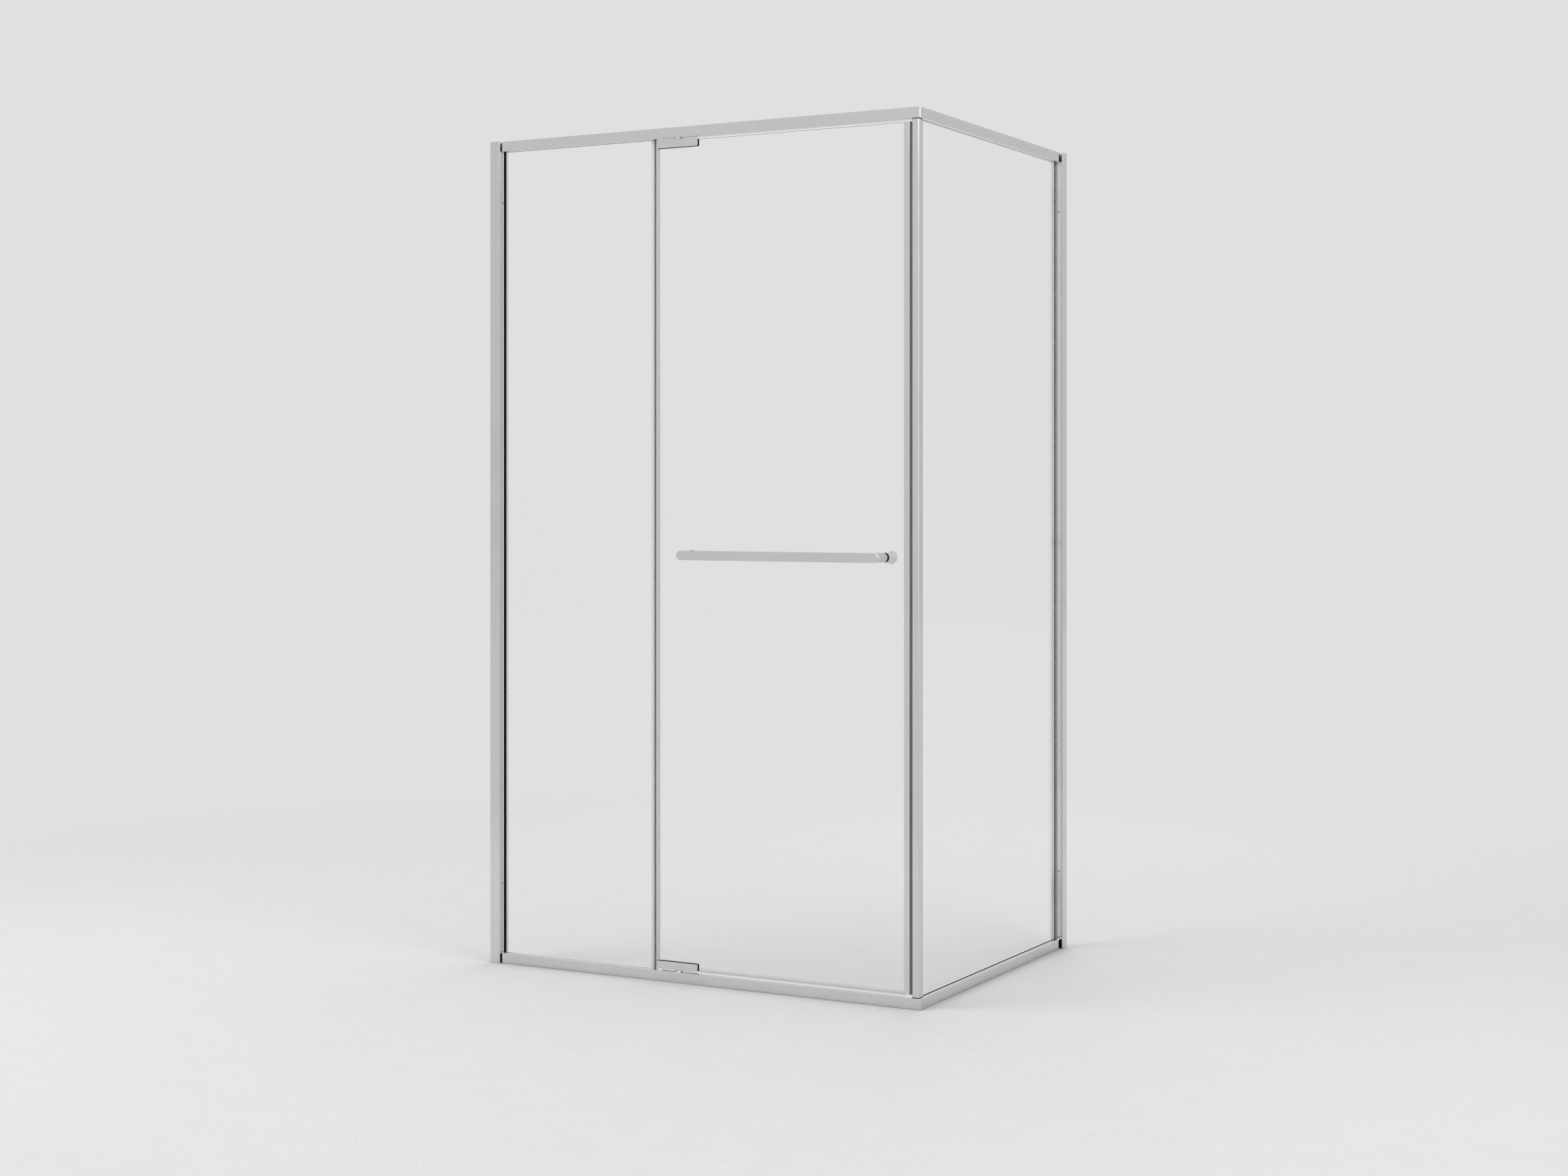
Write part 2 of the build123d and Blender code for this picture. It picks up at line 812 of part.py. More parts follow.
nodes = {
    "wall_channel_left": [wall_channel()],
    "wall_channel_right": [on_side(wall_channel())],
    "jamb_left": [jamb()],
    "jamb_right": [on_side(jamb())],
    "jamb_screws_left": jamb_screw_left,
    "jamb_screws_right": [on_side(screw) for screw in jamb_screw_left],
    "sill_rail_front": [sill_front],
    "sill_rail_side": [sill_side],
    "head_rail_front": [at_head(sill_front)],
    "head_rail_side": [at_head(sill_side)],
    "sill_corner_key": [corner_key()],
    "head_corner_key": [at_head(corner_key())],
    "rail_end_keys": both_ends([end_key_front, on_side(end_key_front)]),
    "sill_infill_strip": [infill_strip()],
    "head_infill_strip": [at_head(infill_strip())],
    "corner_post": [corner_post()],
    "corner_post_pads": both_ends([post_outline(rail_height, post_foot, False)]),
    "upright_screws": both_ends([jamb_upright_screw, on_side(jamb_upright_screw), post_screw]),
    "fixed_glass": [front_pane],
    "side_glass": [on_side(side_pane)],
    "fixed_glass_jamb_gasket": [jamb_gasket(front_pane)],
    "fixed_glass_sill_gasket": [front_sill_gasket],
    "fixed_glass_head_gasket": [at_head(front_sill_gasket)],
    "side_glass_jamb_gasket": [on_side(jamb_gasket(side_pane))],
    "side_glass_post_gasket": [on_side(post_gasket(side_pane))],
    "side_glass_sill_gasket": [side_sill_gasket],
    "side_glass_head_gasket": [at_head(side_sill_gasket)],
    "fixed_glass_edge_seal": [milky_seal()],
    "post_magnet_strip": [magnet_strip(post_end)],
    "lower_pivot_bush": [pivot_bush()],
    "upper_pivot_bush": [at_head(pivot_bush())],
    "door_glass": [door_glass()],
    "door_stile": [door_stile()],
    "door_stile_gasket": [stile_groove_room(0) - door_glass()],
    "door_magnet_strip": [magnet_strip(stile_start - strip_width)],
    "door_edge_seal": [edge_seal()],
    "door_drip_seal": [drip_seal()],
    "lower_hinge_outer_plate": [hinge_outer_plate()],
    "upper_hinge_outer_plate": [at_head(hinge_outer_plate())],
    "lower_hinge_inner_plate": [hinge_inner_plate()],
    "upper_hinge_inner_plate": [at_head(hinge_inner_plate())],
    "lower_hinge_gaskets": hinge_pads(),
    "upper_hinge_gaskets": [at_head(pad) for pad in hinge_pads()],
    "lower_hinge_screws": hinge_screws(),
    "upper_hinge_screws": [at_head(screw) for screw in hinge_screws()],
    "lower_pivot_pin": [pivot_pin()],
    "upper_pivot_pin": [at_head(pivot_pin())],
    "handle_bar": [handle_bar()],
    "handle_standoffs": standoffs(),
    "handle_bushes": handle_bushes(),
    "handle_bolts": handle_bolts(),
    "inner_knob": [inner_knob()],
    "inner_cap": [inner_cap()],
}

os.makedirs("parts", exist_ok=True)
for name, shapes in nodes.items():
    solids = [solid for shape in shapes for solid in (to_origin * shape).solids()]
    piece = solids[0] if len(solids) == 1 else Compound(solids)
    export_step(piece, f"parts/{name}.step")
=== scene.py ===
import json
import math

import bpy
import numpy as np
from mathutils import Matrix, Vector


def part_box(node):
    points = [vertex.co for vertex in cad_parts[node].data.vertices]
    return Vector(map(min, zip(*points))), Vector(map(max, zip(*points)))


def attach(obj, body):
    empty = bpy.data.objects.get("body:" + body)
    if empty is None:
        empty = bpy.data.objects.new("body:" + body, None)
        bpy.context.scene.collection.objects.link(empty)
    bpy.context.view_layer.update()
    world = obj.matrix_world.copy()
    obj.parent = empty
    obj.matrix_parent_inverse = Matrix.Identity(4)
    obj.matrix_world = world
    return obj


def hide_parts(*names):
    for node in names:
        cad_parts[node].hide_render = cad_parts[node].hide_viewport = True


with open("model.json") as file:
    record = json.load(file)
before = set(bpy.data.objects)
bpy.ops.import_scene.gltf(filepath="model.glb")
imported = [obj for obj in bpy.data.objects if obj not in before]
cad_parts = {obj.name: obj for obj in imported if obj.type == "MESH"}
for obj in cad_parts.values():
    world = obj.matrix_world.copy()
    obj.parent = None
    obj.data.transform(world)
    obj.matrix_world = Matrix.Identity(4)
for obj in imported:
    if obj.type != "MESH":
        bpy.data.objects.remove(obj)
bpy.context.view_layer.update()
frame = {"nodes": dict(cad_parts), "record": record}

nodes = frame["nodes"]
X, Y, Z = range(3)

# Camera, from the vanishing points of the rails
CAMERA_PLACE = (2.8387, -5.2037, 1.1423)
CAMERA_TURN = math.radians(28.52)
CAMERA_LENS = 55.02
CAMERA_SENSOR = 36.0
CAMERA_SHIFT_UP = -0.05999
CAMERA_FAR = 60.0

# Floor and background
FLOOR_COLOUR = (0.760, 0.760, 0.748)
FLOOR_DARK = 0.93                   # share of the floor's colour left in its specks
BACKGROUND = (0.745, 0.745, 0.730)
FLOOR_HALF = 14.0
FLOOR_POINTS = 9                    # points of the floor's grid along each side
FLOOR_NEAR = 1.9                    # where the floor starts to fade, from the middle
FLOOR_FAR = 3.6

# Lamps: name, place and power
LAMPS = (
    ("lamp_left", (-3.2, -3.6, 4.2), 120.0),
    ("lamp_right", (4.0, -1.8, 3.6), 70.0),
    ("lamp_back", (-0.5, 4.2, 3.8), 60.0),
)
LAMP_AIM = (0.0, 0.0, 0.9)
LAMP_SIZE = 3.0

# Room as the chrome reflects it: a ramp with height, and a bright side
ROOM_LOW = 0.70
ROOM_HIGH = 0.86
ROOM_FROM = -0.2                    # where the ramp starts, as the sine of the height angle
ROOM_TO = 0.5
ROOM_LIGHT = 0.62                   # soft light of the room on matt surfaces
BRIGHT_SIDE = (0.848, -0.530, 0.0)
BRIGHTNESS = (                      # from the far side of the room round to the bright side
    (0.0, 1.06), (0.25, 0.98), (0.42, 0.87), (0.5, 0.95), (0.60, 1.0), (0.70, 1.12),
    (0.78, 1.18), (1.0, 1.18),
)
BRIGHT_RISE = 6.0                   # growth of the bright side at the height of the head
RISE_FROM = 0.148
RISE_TO = 0.158

# Screws with a hexagon socket
SCREW_SIDES = 48
SOCKET_ACROSS = 0.5                 # half width across flats, as a share of the head radius
SOCKET_DEEP = 0.6                   # depth, as a share of the head
SOCKET_LEAD = 0.00012               # bevel at the socket's mouth
HEAD_ROUND = 0.0003
HEAD_ROUND_POINTS = 5
SHANK_SHARE = 0.6                   # shank radius, as a share of the head radius
TIP_BEVEL = 0.0004
SHARP = math.radians(35)
JAMB_HEAD_SHARE = 2.5 / 2.3         # thickness of a head, as a share of its radius
HINGE_HEAD_SHARE = 1.5 / 3.5

# Chrome
CHROME_DARK = (0.665, 0.67, 0.668)
CHROME_LIGHT = (0.715, 0.72, 0.718)
STANDOFF_SHADE = 0.84                  # painted shade: the standoffs are a darker copy of the bar's chrome

# Ground edges of the glass
EDGE_DARK = (0.205, 0.235, 0.210)
EDGE_LIGHT = (0.255, 0.285, 0.258)
DOOR_EDGE_SHADE = 0.6                # painted shade: the door's ground edge is a darker copy of the fixed pane's

# Strips: the share of the surface that isn't see-through, and the greys it varies between
MILKY_BODY = 0.38
CLEAR_BODY = 0.08
CLEAR_GREYS = (0.74, 0.84)
# The sill and head gaskets are near white and almost opaque: painted light that lifts their
# faces out of the shade in their grooves
PAINTED_LIGHT_BODY = 0.95
PAINTED_LIGHT_GREYS = (0.88, 0.94)

# Gaskets
DUST_GAIN = 1.3                     # how much lighter dust makes a grey
GASKET_BLACK = 0.0045               # depth of the black lip before the grey inner side
GASKET_GREY = 0.13
# The pale band on the side gasket's lip is a painted highlight: light on the lip put into the
# rubber's colour
LIP_HIGHLIGHT_FROM = 0.0090                  # where the painted highlight on the side gasket's lip starts
LIP_HIGHLIGHT_TO = 0.0112                   # and where it ends
LIP_HIGHLIGHT_GREY = 0.55
BLEND = 0.0002                     # half width of the change between two finishes


# Materials

def toned(colour, tone):
    """A colour with its brightness times a tone."""
    return tuple(value * tone for value in colour)


class Nodes:
    """Nodes of a tree: adds them and joins their sockets."""

    def __init__(self, tree):
        self.tree = tree

    def add(self, kind, links=None, **settings):
        """A node with its settings; links are sockets or values for its inputs."""
        node = self.tree.nodes.new(kind)
        for key, value in settings.items():
            setattr(node, key, value)
        for socket, source in (links or {}).items():
            self.join(source, node.inputs[socket])
        return node

    def join(self, source, socket):
        """A link where the source is a socket, else a plain value."""
        if isinstance(source, bpy.types.NodeSocket):
            self.tree.links.new(source, socket)
        else:
            socket.default_value = source

    def spread(self, factor, low, high, edge_low=0.0, edge_high=1.0):
        """The factor between two edges, spread between two values."""
        return self.add("ShaderNodeMapRange", {
            "Value": factor, "From Min": edge_low, "From Max": edge_high,
            "To Min": low, "To Max": high,
        }).outputs["Result"]

    def mixed(self, factor, first, second, blend="MIX"):
        """A colour between two colours, each a value or a socket."""
        mix = self.add("ShaderNodeMix", data_type="RGBA", blend_type=blend)
        self.join(factor, mix.inputs["Factor"])
        self.join(first, mix.inputs[6])
        self.join(second, mix.inputs[7])
        return mix.outputs[2]

    def sum(self, first, second, operation="ADD"):
        """Two numbers added, or joined by another operation."""
        node = self.add("ShaderNodeMath", {0: first, 1: second}, operation=operation)
        return node.outputs["Value"]


class Finish(Nodes):
    """A material under construction."""

    def __init__(self, name):
        self.material = bpy.data.materials.new(name)
        self.material.use_nodes = True
        super().__init__(self.material.node_tree)
        self.surface = self.tree.nodes["Principled BSDF"]
        self.output = self.tree.nodes["Material Output"]
        self.place = self.add("ShaderNodeTexCoord").outputs["Object"]

    def noise(self, stretch, scale, detail=3.0, roughness=0.5):
        """Noise whose pattern is scaled by stretch along x, y and z, in cycles a metre."""
        mapping = self.add("ShaderNodeMapping", {"Vector": self.place, "Scale": stretch})
        field = self.add("ShaderNodeTexNoise", {
            "Vector": mapping.outputs["Vector"], "Scale": scale, "Detail": detail,
            "Roughness": roughness,
        })
        return field.outputs["Fac"]

    def shade(self, factor, dark, light):
        """A colour between dark and light."""
        return self.mixed(factor, tuple(dark) + (1.0,), tuple(light) + (1.0,))

    def beyond(self, axis, edge):
        """One past a place along an axis, and zero before it."""
        place = self.add("ShaderNodeSeparateXYZ", {"Vector": self.place}).outputs[axis]
        return self.spread(place, 0.0, 1.0, edge - BLEND, edge + BLEND)

    def bump(self, height, distance, strength=1.0):
        """A bump of the given height in metres on the surface."""
        node = self.add("ShaderNodeBump", {
            "Height": height, "Distance": distance, "Strength": strength,
        })
        self.join(node.outputs["Normal"], self.surface.inputs["Normal"])

    def set(self, **values):
        """Values or sockets on the surface shader, with underscores for spaces."""
        for key, value in values.items():
            self.join(value, self.surface.inputs[key.replace("_", " ")])

    def layered(self, factor, first, second):
        """A mix of the outputs of two shader nodes."""
        return self.add("ShaderNodeMixShader", {
            "Fac": factor, 1: first.outputs[0], 2: second.outputs[0],
        })

    def close(self, shader):
        """The material with this shader node on its surface."""
        self.join(shader.outputs[0], self.output.inputs["Surface"])
        return self.material


def chrome_finish(name, along, tone=1.0):
    """Bright polished aluminium: fine draw lines along one axis, faint smears and spots."""
    finish = Finish(name)
    across = [900.0, 900.0, 900.0]
    across[along] = 3.0
    lines = finish.noise(across, 1.0, 2.0)
    smears = finish.noise((1.0, 1.0, 1.0), 9.0, 4.0, 0.6)
    specks = finish.noise((1.0, 1.0, 1.0), 420.0, 2.0, 0.7)
    finish.set(
        Metallic=1.0,
        Base_Color=finish.shade(smears, toned(CHROME_DARK, tone), toned(CHROME_LIGHT, tone)),
        Roughness=finish.sum(
            finish.spread(lines, 0.07, 0.15), finish.spread(smears, -0.02, 0.05, 0.35, 0.7)
        ),
    )
    height = finish.sum(finish.spread(lines, 0.0, 0.6), finish.spread(specks, 0.0, 0.25))
    finish.bump(height, 0.000012)
    # Painted shade: to diffuse bounce rays the chrome is a flat dark grey, which darkens the
    # floor and parts beside it
    paths = finish.add("ShaderNodeLightPath")
    bounce_shade = finish.add("ShaderNodeBsdfDiffuse", {"Color": (0.10, 0.10, 0.10, 1.0)})
    return finish.close(
        finish.layered(paths.outputs["Is Diffuse Ray"], finish.surface, bounce_shade)
    )


def rubber_finish(name, bands=()):
    """Matt black rubber with a fine grain and a little dust in it. Each band is an axis, a
    place along it and a grey from there on."""
    finish = Finish(name)
    grain = finish.noise((1.0, 1.0, 1.0), 1600.0, 4.0, 0.7)
    dust = finish.noise((1.0, 1.0, 1.0), 60.0, 5.0, 0.65)
    dusty = finish.spread(dust, 0.0, 1.0, 0.4, 0.75)
    colour = finish.shade(dusty, (0.0022, 0.0022, 0.0022), (0.011, 0.011, 0.011))
    for axis, edge, grey in bands:
        dusted = finish.shade(dusty, (grey,) * 3, (grey * DUST_GAIN,) * 3)
        colour = finish.mixed(finish.beyond(axis, edge), colour, dusted)
    finish.set(
        Base_Color=colour,
        Roughness=finish.spread(grain, 0.5, 0.75),
        Specular_IOR_Level=0.15,
    )
    finish.bump(grain, 0.00005)
    return finish.material


def milky_finish(edge):
    """Milky legs beyond the edge of the pane, and a clear web and bulb before it, with
    drawn lines along the height."""
    finish = Finish("milky_strip")
    lines = finish.noise((1100.0, 1100.0, 4.0), 1.0, 2.0)
    clouds = finish.noise((1.0, 1.0, 0.2), 40.0, 4.0)
    finish.set(
        Base_Color=finish.shade(clouds, (0.72, 0.72, 0.71), (0.80, 0.80, 0.795)),
        Roughness=finish.spread(lines, 0.25, 0.42),
        IOR=1.48,
    )
    finish.bump(lines, 0.00002)
    film = finish.add("ShaderNodeBsdfTransparent", {"Color": (0.97, 0.98, 0.975, 1.0)})
    gloss = finish.add("ShaderNodeBsdfGlossy", {"Roughness": 0.2})
    shine = finish.add("ShaderNodeFresnel", {"IOR": 1.3})
    web = finish.layered(shine.outputs["Fac"], film, gloss)
    leg = finish.layered(MILKY_BODY, film, finish.surface)
    return finish.close(finish.layered(finish.beyond(X, edge), leg, web))


def clear_strip_finish(name, body, greys):
    """Flexible strip with drawn lines along the piece, clear at a small body and near white,
    as painted light, at a large one. body is the share of its surface that isn't see-through."""
    dark, light = greys
    finish = Finish(name)
    lines = finish.noise((30.0, 900.0, 30.0), 1.0, 2.0)
    clouds = finish.noise((1.0, 1.0, 1.0), 55.0, 4.0)
    finish.set(
        Base_Color=finish.shade(clouds, (dark,) * 3, (light,) * 3),
        Roughness=finish.spread(lines, 0.10, 0.22),
        IOR=1.5,
    )
    finish.bump(lines, 0.00002)
    film = finish.add("ShaderNodeBsdfTransparent", {"Color": (0.965, 0.972, 0.968, 1.0)})
    return finish.close(finish.layered(body, film, finish.surface))


def magnet_finish():
    """Dark grey satin strip with fine lines along its height."""
    finish = Finish("magnet_grey")
    lines = finish.noise((1400.0, 1400.0, 5.0), 1.0, 2.0)
    clouds = finish.noise((1.0, 1.0, 0.3), 30.0, 4.0)
    finish.set(
        Base_Color=finish.shade(clouds, (0.105, 0.106, 0.107), (0.140, 0.141, 0.143)),
        Roughness=finish.spread(lines, 0.33, 0.5),
    )
    finish.bump(lines, 0.00003)
    return finish.material


def screw_finish():
    """Dull turned steel with a fine grain and light stains."""
    finish = Finish("screw_steel_dull")
    grain = finish.noise((1.0, 1.0, 1.0), 900.0, 3.0)
    stains = finish.noise((1.0, 1.0, 1.0), 120.0, 4.0)
    finish.set(
        Metallic=1.0,
        Base_Color=finish.shade(stains, (0.30, 0.30, 0.31), (0.48, 0.48, 0.48)),
        Roughness=finish.spread(grain, 0.25, 0.42),
    )
    finish.bump(grain, 0.00002)
    return finish.material


def cast_finish():
    """Cast aluminium with a coarse grain."""
    finish = Finish("cast_aluminium")
    grain = finish.noise((1.0, 1.0, 1.0), 500.0, 5.0, 0.7)
    finish.set(
        Metallic=1.0,
        Base_Color=finish.shade(grain, (0.42, 0.42, 0.43), (0.58, 0.58, 0.58)),
        Roughness=finish.spread(grain, 0.4, 0.6),
    )
    finish.bump(grain, 0.0001)
    return finish.material


def glass_finish(name, thin, tone=1.0):
    """Toughened glass: clear faces with a faint roll wave, ground edges of a dark green,
    and shadows that stay pale. thin is the axis through the pane."""
    finish = Finish(name)
    wave = finish.noise((1.0, 1.0, 1.0), 7.0, 1.0)
    haze = finish.noise((1.0, 1.0, 1.0), 16.0, 5.0, 0.6)
    finish.set(
        Base_Color=(1.0, 1.0, 1.0, 1.0),
        Roughness=finish.spread(haze, 0.0, 0.012, 0.45, 0.8),
        Transmission_Weight=1.0,
        IOR=1.45,
    )
    finish.bump(wave, 0.00002, 0.25)
    facing = finish.add("ShaderNodeTexCoord").outputs["Normal"]
    parts = finish.add("ShaderNodeSeparateXYZ", {"Vector": facing})
    outward = finish.sum(parts.outputs[thin], 0.0, "ABSOLUTE")
    grinding = finish.noise((1.0, 1.0, 1.0), 700.0, 3.0, 0.7)
    # A tone below one gives a darker copy of the ground edge, used as painted shade on the
    # door
    edge = finish.add("ShaderNodeBsdfPrincipled", {
        "Base Color": finish.shade(grinding, toned(EDGE_DARK, tone), toned(EDGE_LIGHT, tone)),
        "Roughness": finish.spread(grinding, 0.32, 0.5),
    })
    face = finish.spread(outward, 0.0, 1.0, 0.4, 0.6)
    pane = finish.layered(face, edge, finish.surface)
    paths = finish.add("ShaderNodeLightPath")
    clear = finish.add("ShaderNodeBsdfTransparent", {"Color": (0.938, 0.945, 0.94, 1.0)})
    return finish.close(finish.layered(paths.outputs["Is Shadow Ray"], pane, clear))


chrome = [chrome_finish("chrome_along_" + axis, index) for index, axis in enumerate("xyz")]
panes = [glass_finish("pane_glass_side", X), glass_finish("pane_glass_front", Y)]
finishes = {
    "black_rubber": rubber_finish("gasket_rubber"),
    "milky_seal": milky_finish(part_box("fixed_glass")[1].x),
    "clear_seal": clear_strip_finish("clear_strip", CLEAR_BODY, CLEAR_GREYS),
    "magnet_strip": magnet_finish(),
    "screw_steel": screw_finish(),
    "cast_key": cast_finish(),
}
painted_light_strip = clear_strip_finish("strip_painted_light", PAINTED_LIGHT_BODY, PAINTED_LIGHT_GREYS)
front_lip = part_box("fixed_glass_jamb_gasket")[0].y
side_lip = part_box("side_glass_jamb_gasket")[0].x
own_finishes = {
    "door_glass": glass_finish("pane_glass_door", Y, DOOR_EDGE_SHADE),
    "fixed_glass_jamb_gasket": rubber_finish("gasket_grey_back", [
        (Y, front_lip + GASKET_BLACK, GASKET_GREY),
    ]),
    "side_glass_jamb_gasket": rubber_finish("gasket_painted_highlight_lip", [
        (X, side_lip + LIP_HIGHLIGHT_FROM, LIP_HIGHLIGHT_GREY), (X, side_lip + LIP_HIGHLIGHT_TO, GASKET_GREY),
    ]),
    "fixed_glass_sill_gasket": painted_light_strip,
    "fixed_glass_head_gasket": painted_light_strip,
    "side_glass_head_gasket": painted_light_strip,
    # The standoffs take a darker copy of the chrome: painted shade
    "handle_standoffs": chrome_finish("chrome_standoff_shaded", Y, STANDOFF_SHADE),
}

for part in frame["record"]["subparts"]:
    node = nodes[part["node"]]
    low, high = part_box(part["node"])
    spans = np.array(high) - np.array(low)
    if part["node"] in own_finishes:
        material = own_finishes[part["node"]]
    elif part["material_slot"] == "chrome":
        material = chrome[int(np.argmax(spans))]
    elif part["material_slot"] == "clear_glass":
        material = panes[int(np.argmin(spans))]
    else:
        material = finishes[part["material_slot"]]
    for index in range(len(node.material_slots)):
        node.material_slots[index].material = material


# Screws

def screw_surface(centre, inward, radius, head, length):
    """Points and faces of a screw with a hexagon socket.

    Rows of points go round the axis. Each row has a depth from the head's face and a
    radius; in the socket the radius is the half width across flats over the cosine of the
    angle from the middle of the nearest flat. The two ends close on a point of the axis."""
    turn = np.arange(SCREW_SIDES) * 2 * np.pi / SCREW_SIDES
    flat = np.pi / 6
    hexagon = 1 / np.cos(np.mod(turn + flat, 2 * flat) - flat)
    ring = np.ones(SCREW_SIDES)
    across = SOCKET_ACROSS * radius
    bottom = SOCKET_DEEP * head
    shank = SHANK_SHARE * radius
    quarter = np.linspace(0, np.pi / 2, HEAD_ROUND_POINTS)
    rows = [
        (bottom, across * hexagon),
        (SOCKET_LEAD, across * hexagon),
        (0.0, (across + SOCKET_LEAD) * hexagon),
    ]
    for step in quarter:
        depth = HEAD_ROUND * (1 - np.cos(step))
        rows.append((depth, (radius - HEAD_ROUND * (1 - np.sin(step))) * ring))
    rows += [
        (head, radius * ring),
        (head, shank * ring),
        (length - TIP_BEVEL, shank * ring),
        (length, (shank - TIP_BEVEL) * ring),
    ]
    inward = np.array(inward, dtype=float)
    side = np.roll(np.abs(inward), 1)
    up = np.cross(side, inward)
    depths = np.array([depth for depth, _ in rows])
    reach = np.array([row for _, row in rows])
    points = (
        np.array(centre)
        + depths[:, None, None] * inward
        + (reach * np.cos(turn))[..., None] * side
        + (reach * np.sin(turn))[..., None] * up
    ).reshape(-1, 3)
    ends = np.array([centre + bottom * inward, centre + length * inward])
    count = len(rows) * SCREW_SIDES
    here = np.arange(SCREW_SIDES)
    after = np.roll(here, -1)
    start = np.arange(len(rows) - 1)[:, None] * SCREW_SIDES
    walls = np.stack([
        start + here, start + after, start + SCREW_SIDES + after, start + SCREW_SIDES + here,
    ], axis=-1).reshape(-1, 4)
    last = count - SCREW_SIDES
    socket_floor = np.stack([np.full_like(here, count), after, here], axis=-1)
    tip = np.stack([np.full_like(here, count + 1), last + here, last + after], axis=-1)
    faces = walls.tolist() + socket_floor.tolist() + tip.tolist()
    return np.concatenate([points, ends]), faces


def socket_screws(name, body, node, inward, along, head_share):
    """The two screws of a node, at the ends of its box along one axis. inward is the
    direction from head to tip. The third axis has the head's width."""
    low, high = (np.array(corner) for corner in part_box(node))
    depth_axis = int(np.argmax(np.abs(inward)))
    round_axis = ({X, Y, Z} - {depth_axis, along}).pop()
    radius = (high - low)[round_axis] / 2
    length = (high - low)[depth_axis]
    head = radius * head_share
    points, faces = [], []
    for end, shift in ((low, radius), (high, -radius)):
        centre = (low + high) / 2
        centre[along] = end[along] + shift
        centre[depth_axis] = low[depth_axis] if sum(inward) > 0 else high[depth_axis]
        more_points, more_faces = screw_surface(centre, inward, radius, head, length)
        offset = sum(len(group) for group in points)
        points.append(more_points)
        faces += [[offset + index for index in face] for face in more_faces]
    mesh = bpy.data.meshes.new(name)
    mesh.from_pydata(np.concatenate(points).tolist(), [], faces)
    mesh.polygons.foreach_set("use_smooth", [True] * len(faces))
    mesh.set_sharp_from_angle(angle=SHARP)
    mesh.materials.append(finishes["screw_steel"])
    screws = bpy.data.objects.new(name, mesh)
    bpy.context.scene.collection.objects.link(screws)
    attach(screws, body)
    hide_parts(node)


for name, node, inward in (
    ("left_jamb_socket_screws", "jamb_screws_left", (-1, 0, 0)),
    ("right_jamb_socket_screws", "jamb_screws_right", (0, 1, 0)),
):
    socket_screws(name, "frame", node, inward, Z, JAMB_HEAD_SHARE)
for name, node in (
    ("lower_hinge_socket_screws", "lower_hinge_screws"),
    ("upper_hinge_socket_screws", "upper_hinge_screws"),
):
    socket_screws(name, "door", node, (0, -1, 0), X, HINGE_HEAD_SHARE)


# Room

def floor_sheet():
    """A flat grid: x and y run evenly from side to side, z is zero."""
    count = FLOOR_POINTS
    steps = np.linspace(-FLOOR_HALF, FLOOR_HALF, count)
    x, y = np.meshgrid(steps, steps, indexing="ij")
    points = np.stack([x, y, np.zeros_like(x)], axis=-1).reshape(-1, 3)
    corner = (np.arange(count - 1)[:, None] * count + np.arange(count - 1)).reshape(-1)
    faces = np.stack([corner, corner + count, corner + count + 1, corner + 1], axis=-1)
    mesh = bpy.data.meshes.new("floor")
    mesh.from_pydata(points.tolist(), [], faces.tolist())
    sheet = bpy.data.objects.new("floor", mesh)
    bpy.context.scene.collection.objects.link(sheet)
    return sheet


def floor_finish():
    """Pale floor with faint specks that fades into the background away from the object."""
    finish = Finish("floor_pale")
    mottle = finish.noise((1.0, 1.0, 1.0), 9.0, 6.0, 0.62)
    specks = finish.noise((1.0, 1.0, 1.0), 130.0, 4.0, 0.75)
    dark = toned(FLOOR_COLOUR, FLOOR_DARK)
    tone = finish.sum(
        finish.spread(mottle, -0.2, 0.2, 0.3, 0.7), finish.spread(specks, 0.0, 1.0, 0.38, 0.52)
    )
    finish.set(
        Base_Color=finish.shade(tone, dark, FLOOR_COLOUR),
        Roughness=0.75,
        Specular_IOR_Level=0.2,
    )
    length = finish.add("ShaderNodeVectorMath", {0: finish.place}, operation="LENGTH")
    fade = finish.add("ShaderNodeMapRange", {
        "Value": length.outputs["Value"], "From Min": FLOOR_NEAR, "From Max": FLOOR_FAR,
    }, interpolation_type="SMOOTHSTEP")
    glow = finish.add("ShaderNodeEmission", {"Color": BACKGROUND + (1.0,), "Strength": 1.0})
    return finish.close(finish.layered(fade.outputs["Result"], finish.surface, glow))


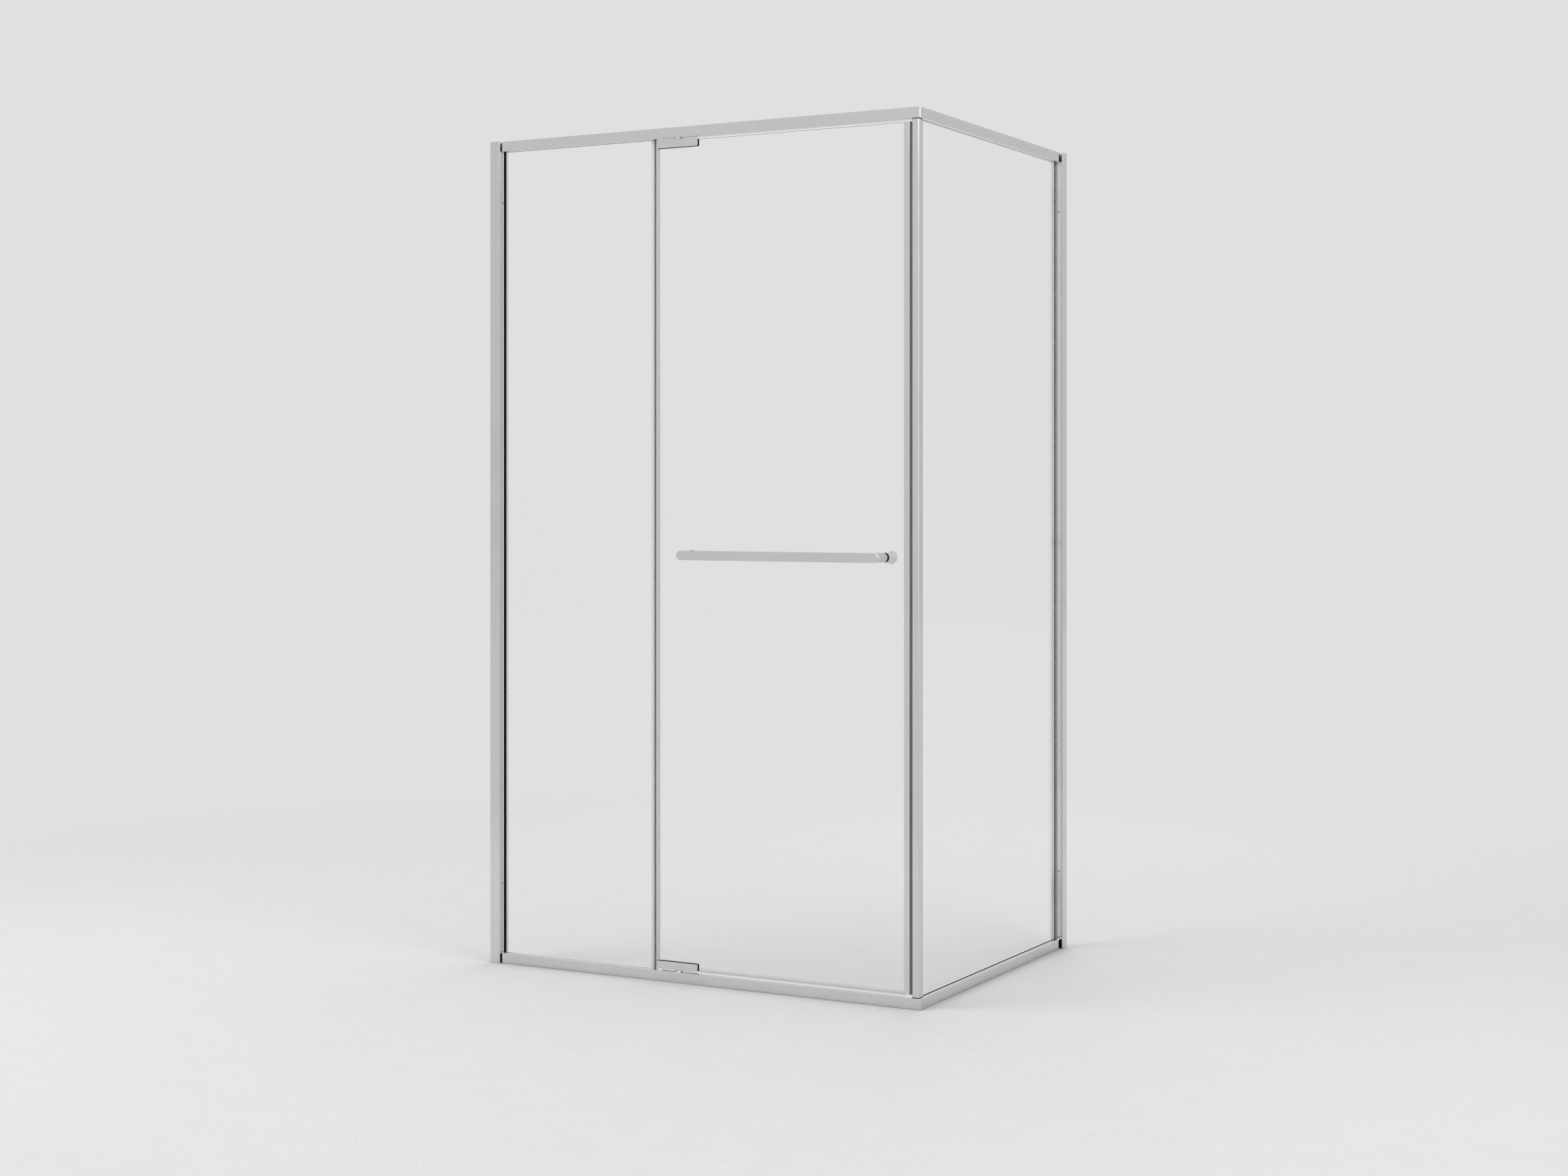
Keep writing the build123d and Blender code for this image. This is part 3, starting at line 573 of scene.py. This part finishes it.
def studio_world():
    """Plain background for the camera and through glass, a soft room with one bright side
    in the reflections, and even light on matt surfaces."""
    world = bpy.data.worlds.new("studio")
    world.use_nodes = True
    world.node_tree.nodes.clear()
    sky = Nodes(world.node_tree)
    direction = sky.add("ShaderNodeTexCoord").outputs["Generated"]
    height = sky.add("ShaderNodeSeparateXYZ", {"Vector": direction}).outputs["Z"]
    level = sky.spread(height, ROOM_LOW, ROOM_HIGH, ROOM_FROM, ROOM_TO)
    toward = sky.add("ShaderNodeVectorMath", {0: direction, 1: BRIGHT_SIDE},
                     operation="DOT_PRODUCT")
    turned = sky.spread(toward.outputs["Value"], 0.0, 1.0, -1.0, 1.0)
    around = sky.add("ShaderNodeValToRGB", {"Fac": turned})
    stops = around.color_ramp.elements
    for place, _ in BRIGHTNESS[1:-1]:
        stops.new(place)
    for stop, (place, value) in zip(stops, BRIGHTNESS):
        stop.position = place
        stop.color = (value, value, value, 1.0)
    side = around.outputs["Color"]
    excess = sky.sum(sky.sum(side, 1.0, "SUBTRACT"), 0.0, "MAXIMUM")
    rise = sky.spread(height, 0.0, BRIGHT_RISE, RISE_FROM, RISE_TO)
    bright = sky.sum(side, sky.sum(excess, rise, "MULTIPLY"))
    room = sky.mixed(1.0, level, bright, "MULTIPLY")
    paths = sky.add("ShaderNodeLightPath").outputs
    direct = sky.sum(paths["Is Camera Ray"], paths["Is Transmission Ray"], "MAXIMUM")
    seen = sky.add("ShaderNodeBackground", {
        "Color": sky.mixed(direct, room, BACKGROUND + (1.0,)), "Strength": 1.0,
    })
    lit = sky.add("ShaderNodeBackground", {
        "Color": (1.0, 1.0, 1.0, 1.0), "Strength": ROOM_LIGHT,
    })
    mirrored = sky.sum(direct, paths["Is Glossy Ray"], "MAXIMUM")
    mix = sky.add("ShaderNodeMixShader", {
        "Fac": mirrored, 1: lit.outputs["Background"], 2: seen.outputs["Background"],
    })
    sky.add("ShaderNodeOutputWorld", {"Surface": mix.outputs["Shader"]})
    return world


def soft_lamp(name, place, power):
    """A square lamp at a place, turned to the middle of the object."""
    lamp = bpy.data.lights.new(name, "AREA")
    lamp.shape = "SQUARE"
    lamp.size = LAMP_SIZE
    lamp.energy = power
    holder = bpy.data.objects.new(name, lamp)
    bpy.context.scene.collection.objects.link(holder)
    away = np.array(place) - np.array(LAMP_AIM)
    flat_length = math.hypot(away[0], away[1])
    holder.location = place
    holder.rotation_euler = (
        math.atan2(flat_length, away[2]), 0.0, math.atan2(away[0], -away[1])
    )
    holder.visible_glossy = False
    holder.visible_transmission = False


floor = floor_sheet()
floor.data.materials.append(floor_finish())
bpy.context.scene.world = studio_world()
for name, place, power in LAMPS:
    soft_lamp(name, place, power)

lens = bpy.data.cameras.new("camera")
lens.lens = CAMERA_LENS
lens.sensor_fit = "HORIZONTAL"
lens.sensor_width = CAMERA_SENSOR
lens.shift_y = CAMERA_SHIFT_UP
lens.clip_end = CAMERA_FAR
camera = bpy.data.objects.new("camera", lens)
bpy.context.scene.collection.objects.link(camera)
camera.location = CAMERA_PLACE
camera.rotation_euler = (math.pi / 2, 0.0, CAMERA_TURN)
bpy.context.scene.camera = camera
bpy.context.scene.view_settings.view_transform = "Standard"
